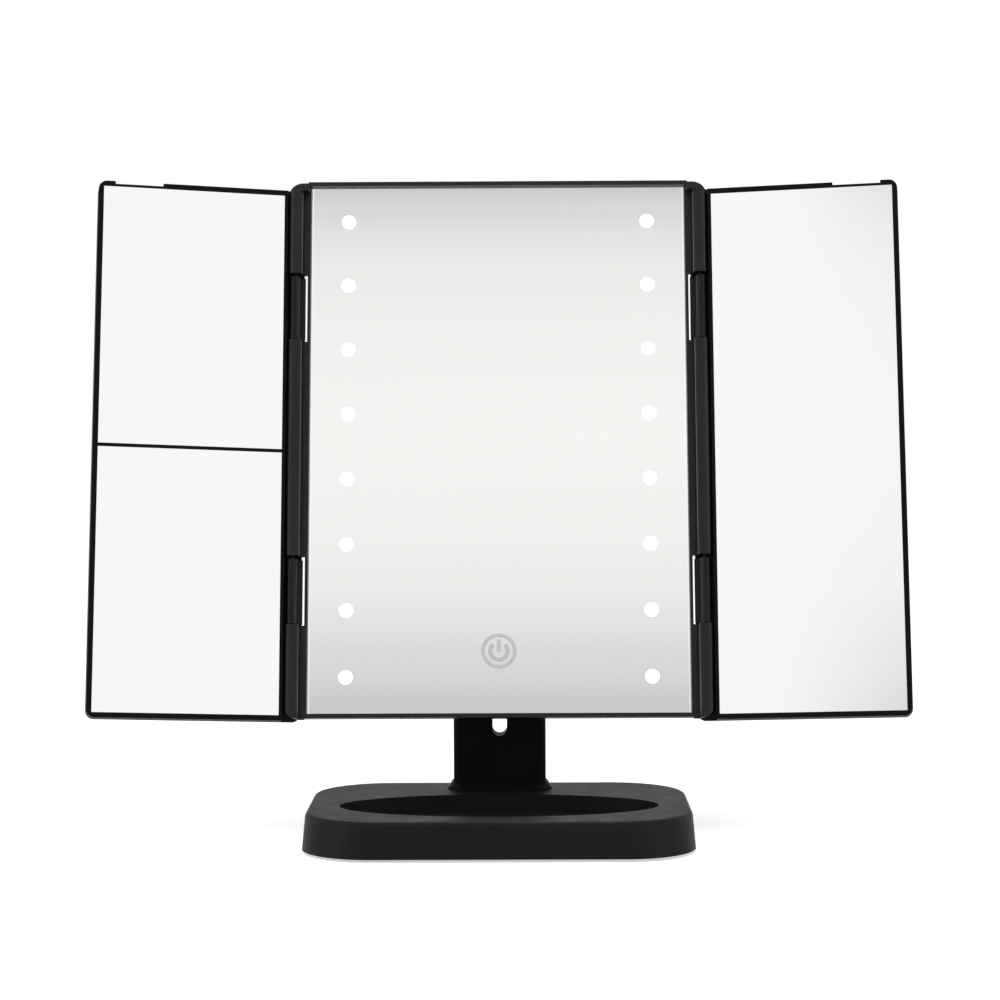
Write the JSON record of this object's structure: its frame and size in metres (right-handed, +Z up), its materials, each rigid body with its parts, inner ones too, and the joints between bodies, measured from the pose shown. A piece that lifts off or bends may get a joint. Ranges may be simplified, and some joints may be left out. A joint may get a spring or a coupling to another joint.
{
  "type": "trifold vanity mirror",
  "caption": "Lighted trifold vanity mirror: a tilting middle mirror with two hinged side wings on a neck and a low base with an oval tray.",
  "frame": {"origin": "on the table, at the centre of the base's footprint", "axes": "+Z up, +X to the right of someone facing the mirror (along the wings), -Y towards them"},
  "size_m": [0.3379, 0.1278, 0.2733],
  "materials": {
    "black_plastic": "satin moulded ABS",
    "steel": "plated steel",
    "plated_metal": "nickel plated",
    "pad_rubber": "matt",
    "washer_plastic": "plain nylon",
    "mirror": "silvered glass",
    "foam": "foam sheet",
    "diffuser": "opal acrylic",
    "light": "light chips",
    "circuit_board": "solder mask",
    "battery": "plain wrapped cell",
    "slider_plastic": "moulded"
  },
  "bodies": {
    "stand": {"base_top_shell": "black_plastic", "base_bottom_plate": "black_plastic", "base_weight": "steel", "base_pad": "pad_rubber", "base_screws": "steel", "neck_base_screws": "steel", "neck_post": "black_plastic", "tilt_axle": "steel", "axle_nut": "steel", "axle_caps": "black_plastic", "friction_washers": "washer_plastic", "neck_collar": "black_plastic"},
    "head": {"center_front_frame": "black_plastic", "left_hinge_pin": "steel", "right_hinge_pin": "steel", "center_mirror": "mirror", "left_light_diffuser": "diffuser", "left_led_board": "circuit_board", "left_leds": "light", "right_light_diffuser": "diffuser", "right_led_board": "circuit_board", "right_leds": "light", "mirror_pad": "foam", "mirror_carrier": "black_plastic", "housing_screws": "steel", "control_board": "circuit_board", "touch_spring": "plated_metal", "center_rear_housing": "black_plastic", "battery_tray": "black_plastic", "battery_cells": "battery", "battery_contacts": "plated_metal", "switch_body": "black_plastic", "usb_socket": "plated_metal", "bracket_screws": "steel", "tilt_bracket": "black_plastic"},
    "left_wing": {"left_wing_frame": "black_plastic", "left_wing_back": "black_plastic", "left_divider": "black_plastic", "left_lower_mirror": "mirror", "left_upper_mirror": "mirror", "left_mirror_tape": "foam"},
    "right_wing": {"right_wing_frame": "black_plastic", "right_wing_back": "black_plastic", "right_wing_mirror": "mirror", "right_mirror_tape": "foam"},
    "battery_door": {"battery_door": "black_plastic"},
    "power_switch": {"switch_slider": "slider_plastic"}
  },
  "joints": [
    {"name": "head_tilt", "type": "hinge", "parent": "stand", "child": "head", "pos_m": [0, 0.037, 0.0627], "axis": [-1, 0, 0], "range_deg": [-12, 75]},
    {"name": "left_wing_hinge", "type": "hinge", "parent": "head", "child": "left_wing", "pos_m": [-0.0859, 0.02857, 0.16188], "axis": [0, 0.2164, 0.9763], "range_deg": [-12, 167.5]},
    {"name": "right_wing_hinge", "type": "hinge", "parent": "head", "child": "right_wing", "pos_m": [0.0859, 0.02857, 0.16188], "axis": [0, -0.2164, -0.9763], "range_deg": [-9, 170.5]},
    {"name": "battery_door_slide", "type": "slide", "parent": "head", "child": "battery_door", "axis": [0, 0.2164, 0.9763], "range_m": [0, 0.052]},
    {"name": "power_switch_slide", "type": "slide", "parent": "head", "child": "power_switch", "axis": [1, 0, 0], "range_m": [0, 0.0036]}
  ]
}
